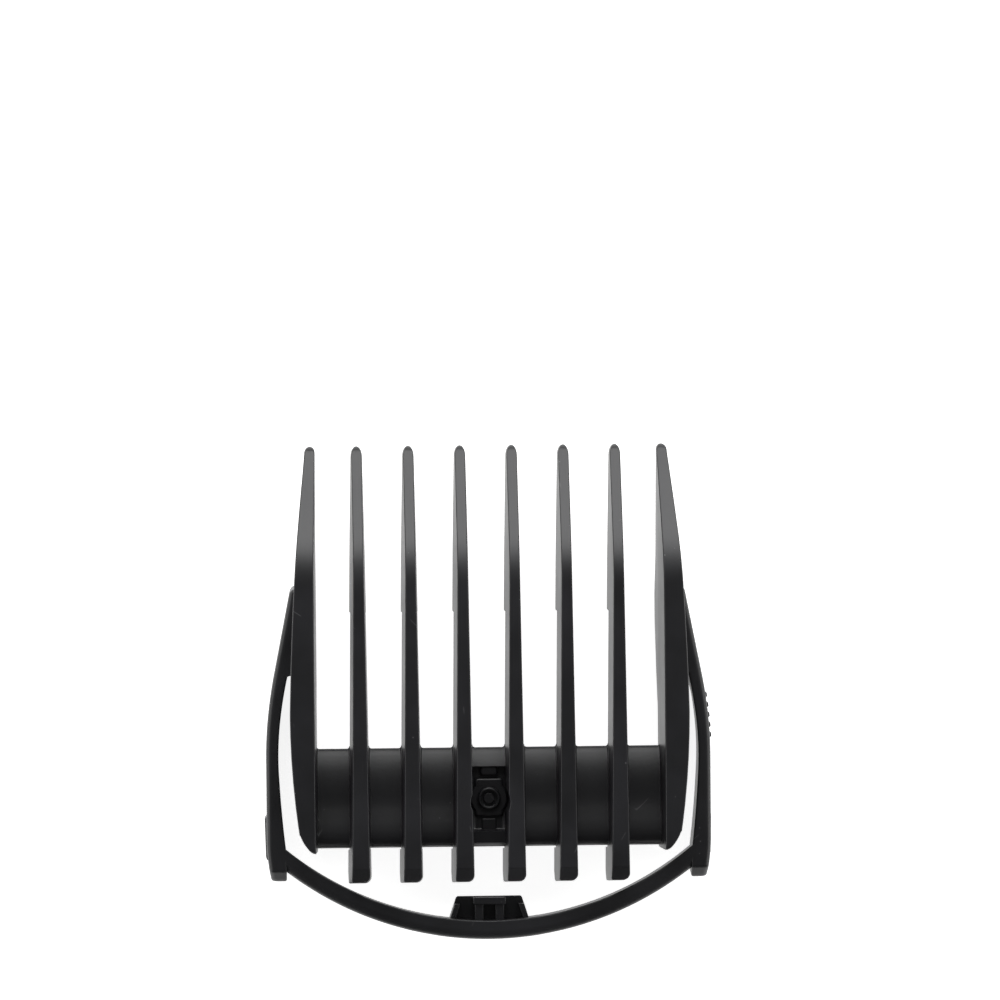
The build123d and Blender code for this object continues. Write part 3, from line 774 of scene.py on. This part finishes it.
strap = strapSizes
spanMade = strapRings(strap["centreX"] - strap["lap"], strap["endX"] + strap["footLap"], 34, strap["shrink"])
for side, flip in (("right", False), ("left", True)):
    span = makePiece(f"{side}StrapSpan", [spanMade], plastics["strap_plastic"], mirror=flip)
    place(span, f"{side}_strap", "strap_plastic", f"{side}_strap_span")
centreMade = strapRings(-strap["centreX"], strap["centreX"], 20, 0.0)
centre = makePiece("strapCentre", [centreMade], plastics["strap_plastic"])
place(centre, "latch", "strap_plastic", "strap_centre")


latchSizes = {
    "topY": -26.7, "baseY": -29.7, "topHalf": 4.25, "baseHalf": 5.2, "sink": 0.1,
    "plateZ": 5.4, "plateEdge": 0.12, "endSlope": 0.14, "slopeFrom": -28,
    "lipHigh": 0.95, "lipHalf": 2.1, "lipZ": 7.6, "lipEdge": 0.14, "undercut": 0.2,
    "ribX": 1.35, "ribWide": 1.1, "ribZ": 7.0, "ribEdge": 0.1, "ribEnd": -30.2,
    "cheekWide": 0.75, "cheekZ": 7.0,
}
latch = latchSizes
lipY = latch["topY"] - latch["lipHigh"]
onPlate = latch["plateZ"] - latch["sink"]


def latchHalf(y):
    # half the latch's width, wide at the strap and narrower towards the top
    latchLong = latch["topY"] - latch["baseY"]
    return latch["baseHalf"] + (latch["topHalf"] - latch["baseHalf"]) * (y - latch["baseY"]) / latchLong


plateRows = [(-30.3, 0.0), (-29.0, 0.0), (-27.4, 0.0)]
plateRows += [(latch["topY"] - 0.25, 0.0), (latch["topY"] - 0.1, 0.05), (latch["topY"], 0.14)]
plateRings = []
for y, pull in plateRows:
    half = latchHalf(y) - pull
    slope = latch["endSlope"] if y > latch["slopeFrom"] else 0.0
    high, low = latch["plateZ"] - pull, strapSizes["low"] + pull
    corners = [(half, high), (half, low), (-half, low), (-half, high)]
    tilted = [Vector((x, y - slope * (latch["plateZ"] - z), z)) for x, z in corners]
    plateRings.append(softRing(tilted, [latch["plateEdge"]] * 4))
latchPlate = makePiece("latchPlate", [plateRings], plastics["strap_plastic"])
place(latchPlate, "latch", "strap_plastic", "latch_plate")

# the lip's upper edge stands out furthest, as a hook's does
lipTop = latch["lipZ"]
lipRings = []
for z, pull in ((onPlate, 0.0), (lipTop - 0.14, 0.0), (lipTop - 0.05, 0.04), (lipTop, 0.12)):
    back = latch["undercut"] * (lipTop - z) / (lipTop - latch["plateZ"])
    half, low, high = latch["lipHalf"] - pull, lipY + pull, latch["topY"] - back - 0.3 * pull
    corners = [(-half, low), (half, low), (half, high), (-half, high)]
    lipRings.append(levelRing(corners, [latch["lipEdge"]] * 4, z))
lip = makePiece("latchLip", [lipRings], plastics["strap_plastic"])
place(lip, "latch", "strap_plastic", "latch_lip")

ribLow = latch["ribX"] - latch["ribWide"] / 2
ribBlock = brick(
    ribLow, ribLow + latch["ribWide"], latch["ribEnd"], lipY + 0.1,
    onPlate, latch["ribZ"], latch["ribEdge"], latch["ribEdge"],
)
cheekRings = []
for y in (-30.1, -29.4, -28.4, lipY):
    outside = latchHalf(y)
    inside = outside - latch["cheekWide"]
    corners = [(outside, latch["cheekZ"]), (outside, onPlate), (inside, onPlate), (inside, latch["cheekZ"])]
    cheekRings.append(crossRing(corners, [0.15, 0.05, 0.05, 0.15], y))
for side, flip in (("right", False), ("left", True)):
    rib = makePiece(f"{side}LatchRib", [ribBlock], plastics["strap_plastic"], mirror=flip)
    place(rib, "latch", "strap_plastic", f"{side}_latch_rib")
    cheek = makePiece(f"{side}LatchCheek", [cheekRings], plastics["strap_plastic"], mirror=flip)
    place(cheek, "latch", "strap_plastic", f"{side}_latch_cheek")
print("strap and latch made")


# metres from here on, except for the camera's own places
floorLook = {"low": "#f1f1f0", "high": "#f7f7f6", "glow": 0.86, "half": 1.6, "drop": 0.0002}

half = floorLook["half"]
floorCorners = [(-half, -half, 0), (half, -half, 0), (half, half, 0), (-half, half, 0)]
floorMesh = bpy.data.meshes.new("floor")
floorMesh.from_pydata(floorCorners, [], [(0, 1, 2, 3)])
floor = bpy.data.objects.new("floor", floorMesh)
floor.location.z = -floorLook["drop"]
bpy.context.scene.collection.objects.link(floor)
# opal acrylic, matt and lit from within, which gives an even white ground with soft shadows
tableTop = bpy.data.materials.new("opal acrylic light table")
tableTop.use_nodes = True
tree = tableTop.node_tree
table = tree.nodes["Principled BSDF"]
overTable = addNode(tree, "ShaderNodeTexCoord").outputs["Object"]
haze = addNode(tree, "ShaderNodeTexNoise", {"Scale": 4.0}, {"Vector": overTable})  # clouds of 250 mm
tone = addNode(
    tree, "ShaderNodeMix",
    {"data_type": "RGBA", 6: linear(floorLook["low"]), 7: linear(floorLook["high"])}, {0: haze.outputs[0]},
)
tree.links.new(tone.outputs[2], table.inputs["Base Color"])
table.inputs["Roughness"].default_value = 0.9
table.inputs["Specular IOR Level"].default_value = 0.1
table.inputs["Emission Color"].default_value = linear("#ffffff")
table.inputs["Emission Strength"].default_value = floorLook["glow"]
floorMesh.materials.append(tableTop)


# each lamp's place, its size and its power in watts
lampPlaces = {
    "tipSideBox": ((0.0, 0.75, 0.55), (1.3, 0.6), 12),
    "leftBox": ((-0.85, 0.0, 0.45), (0.9, 0.5), 3.5),
    "rightBox": ((0.85, 0.0, 0.45), (0.9, 0.5), 3.5),
}
worldGlow = 0.12
combMiddle = Vector((0, 0, 0.008))


def softBox(name, spot, size, power):
    # a large diffused lamp that looks at the comb
    lamp = bpy.data.lights.new(name, "AREA")
    lamp.shape = "RECTANGLE"
    lamp.size, lamp.size_y = size
    lamp.energy = power
    holder = bpy.data.objects.new(name, lamp)
    holder.location = spot
    holder.rotation_euler = (combMiddle - Vector(spot)).to_track_quat("-Z", "Y").to_euler()
    bpy.context.scene.collection.objects.link(holder)


for name, (spot, size, power) in lampPlaces.items():
    softBox(name, spot, size, power)

world = bpy.data.worlds.new("studio")
world.use_nodes = True
backdrop = world.node_tree.nodes["Background"]
backdrop.inputs[0].default_value = linear("#ffffff")
backdrop.inputs[1].default_value = worldGlow
bpy.context.scene.world = world


# the camera looks nearly straight down, from millimetres and degrees
cameraPlace = {
    "target": (1.78, 25.0, 8.0), "distance": 900.0, "lens": 250.0,
    "towardLeft": 2.2, "towardTips": 2.6, "roll": 0.48,
}

target = Vector(cameraPlace["target"]) * mm
leftShift = math.tan(math.radians(cameraPlace["towardLeft"]))
tipShift = math.tan(math.radians(cameraPlace["towardTips"]))
toCamera = Vector((-leftShift, tipShift, 1.0)).normalized()
camera = bpy.data.objects.new("camera", bpy.data.cameras.new("camera"))
camera.data.lens = cameraPlace["lens"]
camera.data.sensor_width = 36.0
camera.data.clip_end = 10
camera.location = target + toCamera * cameraPlace["distance"] * mm
roll = math.radians(cameraPlace["roll"])
upright = Vector((math.sin(roll), math.cos(roll), 0.0))
across = upright.cross(toCamera).normalized()
upright = toCamera.cross(across)
camera.matrix_world = Matrix((
    (across.x, upright.x, toCamera.x, camera.location.x),
    (across.y, upright.y, toCamera.y, camera.location.y),
    (across.z, upright.z, toCamera.z, camera.location.z),
    (0, 0, 0, 1),
))
bpy.context.scene.collection.objects.link(camera)
bpy.context.scene.camera = camera
bpy.context.scene.view_settings.view_transform = "Standard"
print("stage made")
